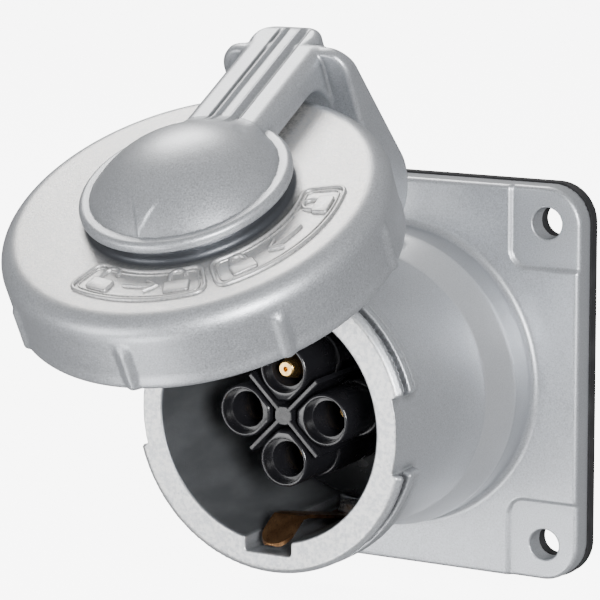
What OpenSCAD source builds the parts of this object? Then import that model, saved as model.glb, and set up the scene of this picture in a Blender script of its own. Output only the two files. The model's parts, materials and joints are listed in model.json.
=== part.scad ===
// Flanged pin-and-sleeve power inlet with a hinged bayonet cap.
// Drawn with the plug axis along +Z, right is +X and up is +Y; facing_front() then turns it so that
// the barrel points along -Y with +Z up. The origin is the middle of the wall face of the gasket.

/* [Flange] */
// Side of the square flange
flange_side = 115; // [112:1:130]
// Thickness of the flange casting
flange_thickness = 8; // [6:0.5:9]
// Corner radius of the flange
flange_corner = 11; // [8:1:14]
// Distance between neighbouring bolt holes
bolt_spacing = 94; // [92:1:96]
// Diameter of each bolt hole
bolt_hole = 9; // [7:0.5:10]
// Thickness of the gasket behind the flange
gasket_thickness = 3.5; // [2:0.5:4]

/* [Barrel] */
// Distance from the wall to the mouth of the barrel
mouth_reach = 88.5; // [87:0.5:90]
// Outer radius of the barrel
barrel_radius = 39.8; // [39.4:0.1:40]
// Inner radius of the barrel, where the plug goes
bore_radius = 33.6; // [33.4:0.1:33.8]
// Radius of the riser that the barrel stands on
riser_radius = 43.7; // [42.5:0.1:45]
// Width of the keyway at the bottom of the bore
keyway_width = 14.4; // [12:0.2:16]
// Depth of the keyway below the bore
keyway_depth = 3.4; // [3.2:0.1:3.6]

/* [Bayonet] */
// Half angle of each of the two notches between the bayonet segments
notch_half_angle = 15; // [14:0.5:20]
// Outer radius of the ridge behind the bayonet groove
ridge_radius = 42.8; // [42:0.1:43.2]
// Half angle of each lug inside the cap
lug_half_angle = 6.5; // [5:0.5:7]

/* [Contacts] */
// Distance of each contact tube from the plug axis
contact_circle = 12.8; // [12.5:0.1:13.2]
// Outer radius of a contact tube at its front
tube_radius = 7.4; // [7.2:0.1:7.5]
// Radius of the wide mouth of a contact tube
tube_mouth_radius = 6.3; // [6:0.1:6.5]
// Radius of the bore of a contact tube
tube_bore_radius = 4.9; // [4.5:0.1:5.2]
// Distance of the insulator's front behind the mouth
insulator_recess = 9; // [8:0.5:11]
// Radius of a contact pin
pin_radius = 3.5; // [3:0.1:3.6]
// Distance of the ground pin's tip behind the insulator's front
ground_tip_depth = 1.6; // [1:0.2:4]
// Distance of the line pins' tips behind the insulator's front
line_tip_depth = 13; // [10:1:16]

/* [Cover] */
// Angle to which the cover stands open
open_angle = 62.5; // [20:0.5:90]
// Height of the hinge pin above the plug axis
hinge_up = 61.1; // [60.5:0.1:63]
// Distance of the hinge pin from the wall
hinge_out = 55.2; // [54:0.1:56]
// Radius of the hinge pin
hinge_pin_radius = 3.6; // [3:0.1:4]
// Width of the yoke over both cheeks
yoke_width = 39.4; // [38:0.2:42]
// Width of the gooseneck
neck_width = 24.8; // [24:0.2:26]
// Radius of the domed disc on the arm
dome_radius = 28.4; // [28:0.1:29]

/* [Cap] */
// Radius of the cap's flat face
face_radius = 47.3; // [46.5:0.1:47.4]
// Radius of the skirt at its open edge
skirt_radius = 52.3; // [52.1:0.1:52.6]
// Depth of the cap from its face to the skirt's edge
cap_depth = 20; // [19.5:0.1:20.5]
// Distance of the shut cap's face in front of the mouth
face_gap = 4; // [3.9:0.1:4.4]
// Height of the hub above the cap's face
hub_height = 3.6; // [3.2:0.1:3.7]
// Number of grip ribs round the skirt
grip_ribs = 8; // [4:1:12]

/* [Hidden] */
$fn = 96;

flange_front = gasket_thickness + flange_thickness;
pad_depth = 1;
pad_inboard = 11;
pad_below = 13;
edge_chamfer = 1.2;
riser_top = flange_front + 11.8;
shoulder_top = flange_front + 22.9;
shoulder_slope = 19;
riser_fillet = 2.3;
pocket_radius = 39;
pocket_depth = 20;
fixing_circle = 35.8;
fixing_radius = 1.6;
fixing_clearance = 2.1;
keyway_floor = -(bore_radius + keyway_depth);
keyway_back = 34;

land_radius = 42.6;
groove_radius = 40.6;
land_width = 2.6;
groove_width = 3.4;
ridge_width = 6.3;

tube_front = mouth_reach - insulator_recess;
tube_step = tube_front - 17.5;
tube_back_radius = 8.1;
web_thickness = 1.4;
web_reach = 15;
web_core = 2.7;
disc_radius = bore_radius - 0.4;
disc_back = pocket_depth;
disc_front = keyway_back;
collar_radius = 5.5;
collar_height = 4;
tail_radius = 3.2;
tail_end = -8;
rear_flange_radius = pocket_radius - 0.4;
rear_flange_thickness = 5;
rear_block_radius = 27;
lug_radius = 6;
lug_end = -20;
wire_radius = 4.3;
wire_depth = 11;
clamp_radius = 2.5;
clamp_place = -14.5;

strip_width = 9.4;
strip_thickness = 1;
strip_gap = 0.2;
strip_foot = keyway_floor + strip_gap + strip_thickness / 2;
strip_anchor = 40;
strip_crest_up = -29.1;
strip_crest_out = mouth_reach - 12.1;
strip_tip_up = -34.8;
strip_tip_out = mouth_reach - 2.3;
strip_screw_radius = 1.9;
strip_hole_radius = 2.3;
strip_washer_thickness = 0.5;

lug_width = 18.4;
lug_lobe = 11;
washer_thickness = 0.4;
cheek_gap = 19.4;
lobe_radius = 13;
running_gap = 0.05;
neck_back = mouth_reach + 5.9;
neck_front = mouth_reach + 13.9;
neck_low = 12;
shoulder_round = 3.8;
rib_height = 1;
crest_up = hinge_up + 1;
crest_radius = 10.8;
crest_offset = 0.3 + neck_width / 2 - crest_radius;
elbow_radius = 7;
root_radius = 10.4;
plate_under = hinge_up - 4.1;
plate_front = neck_front - 0.2;
plate_corner = 7.7;

cap_face = mouth_reach + face_gap;
cap_edge = cap_face - cap_depth;
cap_ceiling = cap_face - 2.1;
skirt_inner = 46;
edge_round = 5;
hub_radius = 26.8;
hub_fillet = 1.9;
hub_top = cap_face + hub_height;
disc_under = hub_top + 0.5;
rim_height = 2.9;
dome_rise = 11.5;
dome_bead = 2.6;
pivot_radius = 5;
pivot_depth = 7;
pivot_head_radius = 9;
open_label = -84;
rib_bulge = 2.2;
seal_thickness = 1.8;
plate_thickness = 1.6;
plate_radius = 31;
plate_screws = 3;
plate_screw_circle = 24;
plate_screw_radius = 1.5;

contact_angles = [90, 180, 0, 270];

// Points along an arc about [x, y], from angle a to angle b
function arc(x, y, r, a, b, n = 12) =
    [for (i = [0:n]) [x + r * cos(a + (b - a) * i / n), y + r * sin(a + (b - a) * i / n)]];

// Turns what is drawn along +Z to point forward, along -Y
module facing_front() rotate([90, 0, 0]) children();

// Swings what is drawn shut about the hinge pin, to where the cover stands open
module swung_open() facing_front() translate([0, hinge_up, hinge_out]) rotate([-open_angle, 0, 0])
    translate([0, -hinge_up, -hinge_out]) children();

// Extrudes a side profile, drawn as [forward, up], across the width
module across(width) rotate([0, -90, 0]) linear_extrude(width, center = true) children();

// A tube or washer from one height to another
module ring(outer, inner, from, to) translate([0, 0, from]) difference() {
    cylinder(h = to - from, r = outer);
    translate([0, 0, -1]) cylinder(h = to - from + 2, r = inner);
}

// A cylinder from one height to another
module rod(radius, from, to) translate([0, 0, from]) cylinder(h = to - from, r = radius);

// Places children at the middle of each bolt hole
module at_bolts() for (x = [-1, 1], y = [-1, 1])
    translate([x * bolt_spacing / 2, y * bolt_spacing / 2, 0]) children();

// Places children on the axis of the contact at an angle, with +X pointing outward
module at_contact(angle) rotate([0, 0, angle]) translate([contact_circle, 0, 0]) children();

module rounded_square(side, corner) offset(corner) square(side - 2 * corner, center = true);

// ---- Housing ----

module flange_plate() hull() {
    translate([0, 0, gasket_thickness]) linear_extrude(flange_thickness - edge_chamfer)
        rounded_square(flange_side, flange_corner);
    translate([0, 0, gasket_thickness]) linear_extrude(flange_thickness)
        rounded_square(flange_side - 2 * edge_chamfer, flange_corner - edge_chamfer);
}

// One corner of the flange is set back round its bolt hole
module corner_pad() {
    reach = flange_side - bolt_spacing;
    translate([-pad_inboard, -pad_below, flange_front - pad_depth]) linear_extrude(pad_depth + 1)
        translate([5, 5]) offset(5) square(reach + pad_below);
}

// Riser, shoulder and barrel in one profile, with the fillet where the riser leaves the flange
module barrel_outside() rotate_extrude() polygon(concat(
    [[0, gasket_thickness + 1], [riser_radius + riser_fillet, gasket_thickness + 1]],
    arc(riser_radius + riser_fillet, flange_front + riser_fillet, riser_fillet, 270, 180),
    [[riser_radius, riser_top - 1]],
    arc(riser_radius - 1, riser_top - 1, 1, 0, shoulder_slope, 4),
    arc(barrel_radius + 1.5, shoulder_top, 1.5, 180 + shoulder_slope, 180, 4),
    [[barrel_radius, mouth_reach], [0, mouth_reach]]));

// Profile of a bayonet segment: front land, groove for the cap's lugs, and rear ridge
module segment_profile() {
    groove_top = mouth_reach - land_width;
    ridge_top = groove_top - groove_width;
    ridge_back = ridge_top - ridge_width;
    polygon([
        [bore_radius + 2, mouth_reach], [land_radius - edge_chamfer, mouth_reach],
        [land_radius, mouth_reach - edge_chamfer], [land_radius, groove_top],
        [groove_radius, groove_top], [groove_radius, ridge_top],
        [ridge_radius - 0.8, ridge_top], [ridge_radius, ridge_top - 0.8],
        [ridge_radius, ridge_back + 1], [ridge_radius - 1, ridge_back],
        [bore_radius + 2, ridge_back - 2]]);
}

module bayonet_segments() for (start = [0, 180])
    rotate([0, 0, start + notch_half_angle])
        rotate_extrude(angle = 180 - 2 * notch_half_angle) segment_profile();

module hinge_lug() across(lug_width) hull() {
    translate([hinge_out, hinge_up]) circle(lug_lobe);
    translate([flange_front + 13, barrel_radius - 3]) square(3);
    translate([hinge_out + lug_lobe - 1, barrel_radius - 3]) square(3);
}

module housing() color("silver") facing_front() difference() {
    union() {
        flange_plate();
        barrel_outside();
        bayonet_segments();
        hinge_lug();
        translate([0, -barrel_radius + 3, strip_anchor]) rotate([90, 0, 0]) cylinder(h = 8, r = 6);
    }
    rod(bore_radius, 0, mouth_reach + 1);
    rod(pocket_radius, 0, pocket_depth);
    translate([-keyway_width / 2, keyway_floor, keyway_back])
        cube([keyway_width, bore_radius, mouth_reach - keyway_back + 1]);
    at_bolts() rod(bolt_hole / 2, 0, flange_front + 1);
    for (x = [0, 1], y = [0, 1]) mirror([x, 0, 0]) mirror([0, y, 0])
        translate([bolt_spacing / 2, bolt_spacing / 2, 0]) corner_pad();
    for (a = [45:90:315]) rotate([0, 0, a]) translate([fixing_circle, 0, 0])
        rod(fixing_radius, pocket_depth - 1, 27);
    translate([0, keyway_floor + 1, strip_anchor]) rotate([90, 0, 0])
        cylinder(h = 5.5, r = strip_screw_radius);
    translate([0, hinge_up, hinge_out]) rotate([0, 90, 0])
        cylinder(h = 2 * lug_width, r = hinge_pin_radius, center = true);
}

module flange_gasket() color("#202022") facing_front() difference() {
    linear_extrude(gasket_thickness) rounded_square(flange_side + 1, flange_corner + 0.5);
    rod(pocket_radius + 1, -1, gasket_thickness + 1);
    at_bolts() rod(bolt_hole / 2, -1, gasket_thickness + 1);
}

// ---- Insulators and contacts ----

// Outline of a tube: round, but squared off to a blunt corner on the side facing the plug axis
module tube_outline(radius) {
    blunt = radius * 1.16;
    corner = radius * sqrt(2) - blunt;
    polygon(concat(arc(0, 0, radius, -135, 135, 36), [[-blunt, corner], [-blunt, -corner]]));
}

// Base of the front insulator, with a stepped hole for each pin
module insulator_front() color("#18181a") facing_front() difference() {
    rod(disc_radius, disc_back, disc_front);
    for (a = contact_angles) at_contact(a) {
        rod(tube_bore_radius, disc_front - 4, disc_front + 1);
        rod(pin_radius + running_gap, disc_back - 1, disc_front);
        rod(collar_radius + running_gap, disc_back - 1, disc_back + collar_height + running_gap);
    }
}

// The four tubes that stand on the base, each with a wide mouth and a thicker back part
module contact_tubes() color("#1a1a1c") facing_front() for (a = contact_angles) at_contact(a) difference() {
    union() {
        translate([0, 0, disc_front]) linear_extrude(tube_front - disc_front) tube_outline(tube_radius);
        rod(tube_back_radius, disc_front, tube_step);
    }
    rod(tube_mouth_radius, tube_front - 3, tube_front + 1);
    rod(tube_bore_radius, disc_front - 1, tube_front - 1);
}

// Two crossed webs and an eight-sided core, which stand free between the tubes
module insulator_webs() color("#1c1c1e") facing_front() translate([0, 0, disc_front])
    linear_extrude(tube_front - disc_front) {
        for (a = [45, 135]) rotate(a) square([2 * web_reach, web_thickness], center = true);
        rotate(22.5) circle(web_core / cos(22.5), $fn = 8);
    }

module insulator_rear() color("#26262a") facing_front() difference() {
    union() {
        rod(rear_flange_radius, pocket_depth - rear_flange_thickness, pocket_depth);
        rod(rear_block_radius, 0, pocket_depth - 1);
    }
    for (a = contact_angles) at_contact(a) rod(tail_radius + running_gap, -1, pocket_depth + 1);
    for (a = [45:90:315]) rotate([0, 0, a]) translate([fixing_circle, 0, 0])
        rod(fixing_clearance, 1, pocket_depth + 1);
}

module insulator_screws() color("gainsboro") facing_front() for (a = [45:90:315]) rotate([0, 0, a])
    translate([fixing_circle, 0, 0]) {
        back = pocket_depth - rear_flange_thickness;
        rod(fixing_radius, back - 1, 26);
        difference() {
            rod(2.9, back - 2.2, back);
            translate([-4, -0.4, back - 3]) cube([8, 0.8, 1.8]);
        }
    }

// A pin from its collar to its tip, with a turned-down tail for the wire lug
module contact_pin(angle, tip_depth) color("goldenrod") facing_front() at_contact(angle) difference() {
    tip = tube_front - tip_depth;
    rotate_extrude() polygon([
        [0, tail_end], [tail_radius, tail_end], [tail_radius, disc_back],
        [collar_radius, disc_back], [collar_radius, disc_back + collar_height],
        [pin_radius, disc_back + collar_height], [pin_radius, tip - 6],
        [pin_radius - 1.2, tip - 0.4], [pin_radius - 1.6, tip], [0, tip]]);
    rod(0.75, tip - 3, tip + 1);
}

module ground_pin() contact_pin(contact_angles[0], ground_tip_depth);
module line_pin_left() contact_pin(contact_angles[1], line_tip_depth);
module line_pin_right() contact_pin(contact_angles[2], line_tip_depth);
module line_pin_bottom() contact_pin(contact_angles[3], line_tip_depth);

// Lug on each pin's tail: the wire goes in from behind and a screw clamps it from outside
module wire_lugs() color("#c8a24a") facing_front() for (a = contact_angles) at_contact(a) difference() {
    rod(lug_radius, lug_end, 0);
    rod(tail_radius, tail_end, 1);
    rod(wire_radius, lug_end - 1, lug_end + wire_depth);
    translate([0, 0, clamp_place]) rotate([0, 90, 0]) cylinder(h = lug_radius + 1, r = clamp_radius);
}

module terminal_screws() color("gainsboro") facing_front() for (a = contact_angles) at_contact(a)
    translate([0, 0, clamp_place]) rotate([0, 90, 0]) difference() {
        rod(clamp_radius, wire_radius + 0.3, lug_radius + 3);
        translate([-4, -0.5, lug_radius + 1.8]) cube([8, 1, 3]);
    }

// ---- Ground strip ----

// Bent side profile of the strip, as a chain of straight runs with round bends
module strip_profile() {
    bends = [
        [strip_anchor - 5, strip_foot], [strip_anchor + 4, strip_foot],
        [strip_crest_out - 3, strip_crest_up - 0.2], [strip_crest_out, strip_crest_up],
        [strip_crest_out + 2.4, strip_crest_up - 1.3], [strip_tip_out, strip_tip_up]];
    for (i = [1:len(bends) - 1]) hull() {
        translate(bends[i - 1]) circle(d = strip_thickness, $fn = 24);
        translate(bends[i]) circle(d = strip_thickness, $fn = 24);
    }
}

module ground_strip() color("#6b4526") facing_front() difference() {
    intersection() {
        across(strip_width) strip_profile();
        translate([0, 0, -bore_radius]) rotate([90, 0, 0]) linear_extrude(100, center = true) hull() {
            translate([-strip_width / 2, 0]) square([strip_width, 80 + bore_radius]);
            translate([0, strip_tip_out + bore_radius - strip_width / 2 + 0.5]) circle(strip_width / 2);
        }
    }
    translate([0, 0, strip_anchor]) rotate([90, 0, 0])
        cylinder(h = 80, r = strip_hole_radius, center = true);
}

module ground_strip_washer() color("lightgray") facing_front()
    translate([0, strip_foot + strip_thickness / 2 + strip_gap, strip_anchor]) rotate([-90, 0, 0])
        ring(4, strip_screw_radius, 0, strip_washer_thickness);

module ground_strip_screw() color("gainsboro") facing_front()
    translate([0, strip_foot + strip_thickness / 2 + strip_gap, strip_anchor]) rotate([-90, 0, 0])
    difference() {
        union() {
            rod(strip_screw_radius, -5.8, strip_washer_thickness + 1);
            rod(3.5, strip_washer_thickness, strip_washer_thickness + 1.9);
        }
        translate([-5, -0.5, strip_washer_thickness + 1]) cube([10, 1, 2]);
    }

// ---- Hinge ----

module hinge_pin() color("lightgray") facing_front() translate([0, hinge_up, hinge_out]) rotate([0, 90, 0])
    cylinder(h = yoke_width - 1.2, r = hinge_pin_radius, center = true);

module hinge_washers() color("lightgray") facing_front() for (side = [0, 1]) mirror([side, 0, 0])
    translate([lug_width / 2, hinge_up, hinge_out]) rotate([0, 90, 0])
        ring(8, hinge_pin_radius, 0, washer_thickness);

// ---- Cover arm ----

// Plate from the hinge lobes to its thin front end, cut away underneath to pass over the cap's rim
module yoke_profile() difference() {
    hull() {
        translate([hinge_out, hinge_up]) circle(lobe_radius);
        translate([plate_front - 2, plate_under + 2]) circle(2);
    }
    translate([cap_edge - 3, plate_under - 20]) square([60, 20]);
}

// The yoke seen from above: square at the hinge, with round corners at the front end
module yoke_plan() hull() {
    translate([-yoke_width / 2, hinge_out - lobe_radius - 1]) square([yoke_width, 45]);
    for (side = [-1, 1]) translate([side * (yoke_width / 2 - plate_corner), plate_front - plate_corner])
        circle(plate_corner);
}

module from_above() rotate([-90, 0, 0]) linear_extrude(200, center = true) mirror([0, 1]) children();

// Side profile of the gooseneck: a spine from the hinge to the elbow, the neck that hangs down in
// front of it, and the root that fills the corner between the neck and the plate
module gooseneck_profile() {
    difference() {
        hull() {
            translate([hinge_out, hinge_up]) circle(lobe_radius - 1.5);
            translate([neck_front + rib_height - elbow_radius, crest_up + crest_radius - elbow_radius])
                circle(elbow_radius);
        }
        translate([cap_edge - 3.5, 0]) square([60, plate_under + 0.2]);
        square([hinge_out + 10, 100]);
    }
    translate([neck_back, neck_low]) square([neck_front + rib_height - neck_back, crest_up - neck_low]);
    polygon(concat(
        [[neck_back + 1, plate_under - root_radius], [neck_back + 1, plate_under + 1],
         [neck_back - root_radius, plate_under + 1]],
        arc(neck_back - root_radius, plate_under - root_radius, root_radius, 90, 0)));
}

// The gooseneck seen from the front: straight sides, and a round crest that leans to the left
module gooseneck_outline() {
    half = neck_width / 2 + 0.3;
    polygon(concat(
        [[-half, neck_low - 1], [half, neck_low - 1], [half, crest_up]],
        arc(-crest_offset, crest_up, crest_radius, 0, 180, 24)));
}

// Section of the neck: round shoulders, two grooves and a raised rib with a channel along it
module neck_section() {
    half = neck_width / 2;
    crest = neck_front + rib_height;
    right = concat(
        [[half, hinge_out]],
        arc(half - shoulder_round, neck_front - shoulder_round, shoulder_round, 0, 90),
        [[4.7, neck_front], [4.4, neck_front - 0.6], [3.6, neck_front - 0.6],
         [3.2, crest], [2.4, crest], [2, neck_front + 0.2]]);
    left = [for (i = [len(right) - 1:-1:0]) [-right[i][0], right[i][1]]];
    polygon(concat(right, left));
}

module gooseneck() intersection() {
    across(yoke_width) gooseneck_profile();
    translate([0, 0, hinge_out + 5]) linear_extrude(60) gooseneck_outline();
    translate([0, 90, 0]) rotate([90, 0, 0]) linear_extrude(90) neck_section();
}

module dome() {
    rim = disc_under + rim_height;
    bead = dome_radius - dome_bead;
    ball = (bead * bead + dome_rise * dome_rise) / (2 * dome_rise);
    half_angle = asin(bead / ball);
    rotate_extrude() polygon(concat(
        [[0, disc_under], [dome_radius - 0.6, disc_under], [dome_radius, disc_under + 0.6]],
        arc(dome_radius - 0.9, rim - 0.9, 0.9, 0, 150, 8),
        arc(0, rim - 0.4 + dome_rise - ball, ball, 90 - half_angle, 90, 20)));
}

module cover_arm() color("silver") swung_open() difference() {
    union() {
        intersection() {
            across(yoke_width) yoke_profile();
            from_above() yoke_plan();
        }
        difference() {
            gooseneck();
            rod(dome_radius - 0.4, neck_back - 1, disc_under + 1);
        }
        dome();
    }
    // Slot for the lug between the two cheeks
    translate([-cheek_gap / 2, 0, 0])
        cube([cheek_gap, hinge_up + lobe_radius + 5, hinge_out + lobe_radius + 1]);
    translate([0, hinge_up, hinge_out]) rotate([0, 90, 0])
        cylinder(h = 2 * yoke_width, r = hinge_pin_radius + running_gap, center = true);
    rod(pivot_radius, disc_under - 1, disc_under + pivot_depth);
    ring(15, 6.5, disc_under - 1, disc_under + 1.5);
}

module cap_wave_spring() color("lightgray") swung_open()
    ring(14, 7.5, hub_top + running_gap, disc_under + 1.5);

module pivot_washer() color("lightgray") swung_open() {
    top = cap_ceiling - seal_thickness - plate_thickness - running_gap;
    ring(pivot_head_radius + 1, pivot_radius, top - 0.8, top);
}

module pivot_screw() color("gainsboro") swung_open() {
    seat = cap_ceiling - seal_thickness - plate_thickness - running_gap - 0.8;
    difference() {
        union() {
            rod(pivot_radius, seat - 1, disc_under + pivot_depth);
            rod(pivot_head_radius, seat - 2.4, seat);
        }
        rod(2.9, seat - 3, seat - 0.6, $fn = 6);
    }
}

// ---- Cap ----

module cap_profile() {
    bore = pivot_radius + running_gap;
    skirt_top = cap_face - edge_round;
    polygon(concat(
        [[bore, cap_ceiling], [bore, hub_top], [hub_radius - 0.6, hub_top], [hub_radius, hub_top - 0.6]],
        arc(hub_radius + hub_fillet, cap_face + hub_fillet, hub_fillet, 180, 270, 8),
        arc(face_radius, skirt_top, edge_round, 90, 0),
        [[skirt_radius, cap_edge + 0.6], [skirt_radius - 0.6, cap_edge], [skirt_inner + 0.6, cap_edge],
         [skirt_inner, cap_edge + 0.6], [skirt_inner - 0.4, cap_ceiling - 2]],
        arc(skirt_inner - 2.4, cap_ceiling - 2, 2, 0, 90, 8)));
}

// Lug that hooks behind the front land of a bayonet segment
module cap_lug() rotate([0, 0, -lug_half_angle]) rotate_extrude(angle = 2 * lug_half_angle)
    translate([groove_radius + 0.6, mouth_reach - land_width - groove_width + 0.5])
        square([skirt_inner - groove_radius + 0.4, groove_width - 1]);

module grip_rib() translate([skirt_radius - 1, 0, cap_edge + 1]) {
    cylinder(h = cap_depth - 8, r = rib_bulge);
    translate([0, 0, cap_depth - 8]) sphere(rib_bulge);
}

module cap() color("silver") swung_open() difference() {
    union() {
        rotate_extrude() cap_profile();
        for (i = [0:grip_ribs - 1]) rotate([0, 0, open_label + i * 360 / grip_ribs]) grip_rib();
        for (side = [0, 180]) rotate([0, 0, side]) cap_lug();
    }
    for (i = [1:plate_screws]) rotate([0, 0, i * 360 / plate_screws]) translate([plate_screw_circle, 0, 0])
        rod(plate_screw_radius, cap_ceiling - 1, cap_ceiling + 2.6);
}

module cap_gasket() color("#242426") swung_open() difference() {
    ring(43.5, 8, cap_ceiling - seal_thickness, cap_ceiling);
    for (i = [1:plate_screws]) rotate([0, 0, i * 360 / plate_screws]) translate([plate_screw_circle, 0, 0])
        rod(plate_screw_radius, cap_ceiling - 5, cap_ceiling + 1);
}

module gasket_plate() color("lightgray") swung_open() difference() {
    top = cap_ceiling - seal_thickness;
    ring(plate_radius, pivot_radius + 0.5, top - plate_thickness, top);
    for (i = [1:plate_screws]) rotate([0, 0, i * 360 / plate_screws]) translate([plate_screw_circle, 0, 0])
        rod(plate_screw_radius, top - 5, top + 1);
}

module gasket_plate_screws() color("gainsboro") swung_open() for (i = [1:plate_screws])
    rotate([0, 0, i * 360 / plate_screws]) translate([plate_screw_circle, 0, 0]) {
        seat = cap_ceiling - seal_thickness - plate_thickness;
        rod(plate_screw_radius, seat - 0.5, cap_ceiling + 2.5);
        difference() {
            rod(2.8, seat - 1.6, seat);
            translate([-4, -0.4, seat - 2.6]) cube([8, 0.8, 1.9]);
        }
    }

housing();
flange_gasket();
insulator_front();
contact_tubes();
insulator_webs();
insulator_rear();
insulator_screws();
ground_pin();
line_pin_left();
line_pin_right();
line_pin_bottom();
wire_lugs();
terminal_screws();
ground_strip();
ground_strip_screw();
ground_strip_washer();
hinge_pin();
hinge_washers();
cover_arm();
cap_wave_spring();
pivot_screw();
pivot_washer();
cap();
cap_gasket();
gasket_plate();
gasket_plate_screws();
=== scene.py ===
"""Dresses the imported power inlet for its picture: cast parts are meshed again with soft edges."""
import math
import json

import bmesh
import bpy
import numpy as np
from mathutils import Matrix, Vector


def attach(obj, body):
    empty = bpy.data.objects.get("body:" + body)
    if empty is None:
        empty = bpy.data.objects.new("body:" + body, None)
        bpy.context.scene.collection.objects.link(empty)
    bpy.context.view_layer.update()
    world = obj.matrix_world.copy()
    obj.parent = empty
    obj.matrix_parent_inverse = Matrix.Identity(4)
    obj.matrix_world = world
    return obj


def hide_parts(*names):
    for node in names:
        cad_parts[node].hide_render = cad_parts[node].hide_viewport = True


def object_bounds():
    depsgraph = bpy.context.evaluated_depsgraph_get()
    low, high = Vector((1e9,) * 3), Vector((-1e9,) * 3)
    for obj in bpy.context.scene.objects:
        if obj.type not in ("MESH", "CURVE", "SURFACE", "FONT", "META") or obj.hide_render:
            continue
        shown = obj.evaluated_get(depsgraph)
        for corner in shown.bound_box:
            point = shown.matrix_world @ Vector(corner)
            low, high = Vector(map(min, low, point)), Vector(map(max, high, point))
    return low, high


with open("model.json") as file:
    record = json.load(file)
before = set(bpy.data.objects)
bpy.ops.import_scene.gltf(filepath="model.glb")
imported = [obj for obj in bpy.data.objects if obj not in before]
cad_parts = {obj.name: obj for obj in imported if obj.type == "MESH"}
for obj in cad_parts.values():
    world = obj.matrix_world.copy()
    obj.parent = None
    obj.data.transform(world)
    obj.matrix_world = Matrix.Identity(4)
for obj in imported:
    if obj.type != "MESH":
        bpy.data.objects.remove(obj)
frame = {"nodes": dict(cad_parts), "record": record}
cad_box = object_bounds()

# Lengths below are in millimetres in the front frame: X right, U up, O out of the wall.
MM = 0.001
HINGE_UP, HINGE_OUT = 61.1, 55.2
OPEN_ANGLE = math.radians(62.5)
GASKET = 3.5
FLANGE_FRONT = 11.5
BOLT_PLACE, BOLT_RADIUS = 47, 4.5
BARREL_RADIUS, BORE_RADIUS, RISER_RADIUS = 39.8, 33.6, 43.7
MOUTH = 88.5
LAND_RADIUS = 42.6
CAP_FACE, CAP_EDGE, CAP_RADIUS = 92.5, 72.5, 52.25
HUB_HEIGHT = 3.6
DOME_RADIUS = 28.4
TUBE_CIRCLE, TUBE_FRONT = 12.8, 79.5


# ---- Frames and meshes ----

def placed(points, swung=False):
    """Points (x, u, o) in mm to the row frame in metres; swung ones belong to the open cover."""
    p = np.asarray(points, float).reshape(-1, 3)
    x, u, o = p[:, 0], p[:, 1], p[:, 2]
    if swung:
        c, s = math.cos(OPEN_ANGLE), math.sin(OPEN_ANGLE)
        du, do = u - HINGE_UP, o - HINGE_OUT
        o = HINGE_OUT + do * c - du * s
        u = HINGE_UP + do * s + du * c
    return np.stack([x, -o, u], 1) * MM


def directed(vectors, swung=False):
    """Directions (x, u, o) to the row frame."""
    zero = placed([[0, 0, 0]], swung)
    return (placed(vectors, swung) - zero) / MM


def mesh_object(name, points, faces, swung=False, normals=None):
    """A mesh object from mm points and faces of any length."""
    mesh = bpy.data.meshes.new(name)
    spots = placed(points, swung)
    if isinstance(faces, np.ndarray):
        n, k = faces.shape
        mesh.vertices.add(len(spots))
        mesh.vertices.foreach_set("co", spots.ravel())
        mesh.loops.add(n * k)
        mesh.loops.foreach_set("vertex_index", faces.ravel().astype(np.int32))
        mesh.polygons.add(n)
        mesh.polygons.foreach_set("loop_start", np.arange(0, n * k, k, dtype=np.int32))
        mesh.polygons.foreach_set("loop_total", np.full(n, k, dtype=np.int32))
        mesh.update(calc_edges=True)
    else:
        mesh.from_pydata(spots.tolist(), [], faces)
    mesh.polygons.foreach_set("use_smooth", [True] * len(mesh.polygons))
    if normals is not None:
        turned = directed(normals, swung)
        mesh.normals_split_custom_set_from_vertices(turned.tolist())
    obj = bpy.data.objects.new(name, mesh)
    bpy.context.scene.collection.objects.link(obj)
    return obj


# ---- Distance fields ----

def rmin(a, b, r):
    """Union of two distances with a fillet of radius r between them."""
    return np.maximum(np.minimum(a, b), r) - np.hypot(np.maximum(r - a, 0), np.maximum(r - b, 0))


def rmax(a, b, r):
    """Intersection of two distances with the edge rounded to radius r."""
    return np.minimum(np.maximum(a, b), -r) + np.hypot(np.maximum(a + r, 0), np.maximum(b + r, 0))


def disc(a, b, ca, cb, r):
    """Distance to a circle's edge in a plane."""
    return np.hypot(a - ca, b - cb) - r


def taper(a, b, start, end, ra, rb):
    """Hull of two circles in a plane."""
    da, db = end[0] - start[0], end[1] - start[1]
    length = math.hypot(da, db)
    along = ((a - start[0]) * da + (b - start[1]) * db) / length
    off = np.abs((a - start[0]) * db - (b - start[1]) * da) / length
    lean = (ra - rb) / length
    side = math.sqrt(1 - lean * lean)
    key = -lean * off + side * along
    body = side * off + lean * along - ra
    near = np.hypot(off, along) - ra
    far = np.hypot(off, along - length) - rb
    return np.where(key < 0, near, np.where(key > side * length, far, body))


def triangle(a, b, corners):
    """Distance to a triangle whose corners run anticlockwise."""
    out = None
    for i in range(3):
        (pa, pb), (qa, qb) = corners[i], corners[(i + 1) % 3]
        length = math.hypot(qa - pa, qb - pb)
        d = ((a - pa) * (qb - pb) - (b - pb) * (qa - pa)) / length
        out = d if out is None else np.maximum(out, d)
    return out


def smooth(t):
    """A soft step from 0 at t = 0 to 1 at t = 1."""
    t = np.clip(t, 0, 1)
    return t * t * (3 - 2 * t)


def bump(t):
    """A soft hump, 1 at t = 0 and 0 beyond t = 1."""
    return np.clip(1 - t * t, 0, None) ** 2


def gradient(field, p, step=0.02):
    """Direction in which a field grows fastest, by central differences."""
    out = np.empty_like(p)
    for i in range(3):
        shift = np.zeros(3)
        shift[i] = step
        out[:, i] = (field(p + shift) - field(p - shift)) / (2 * step)
    return out


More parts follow.
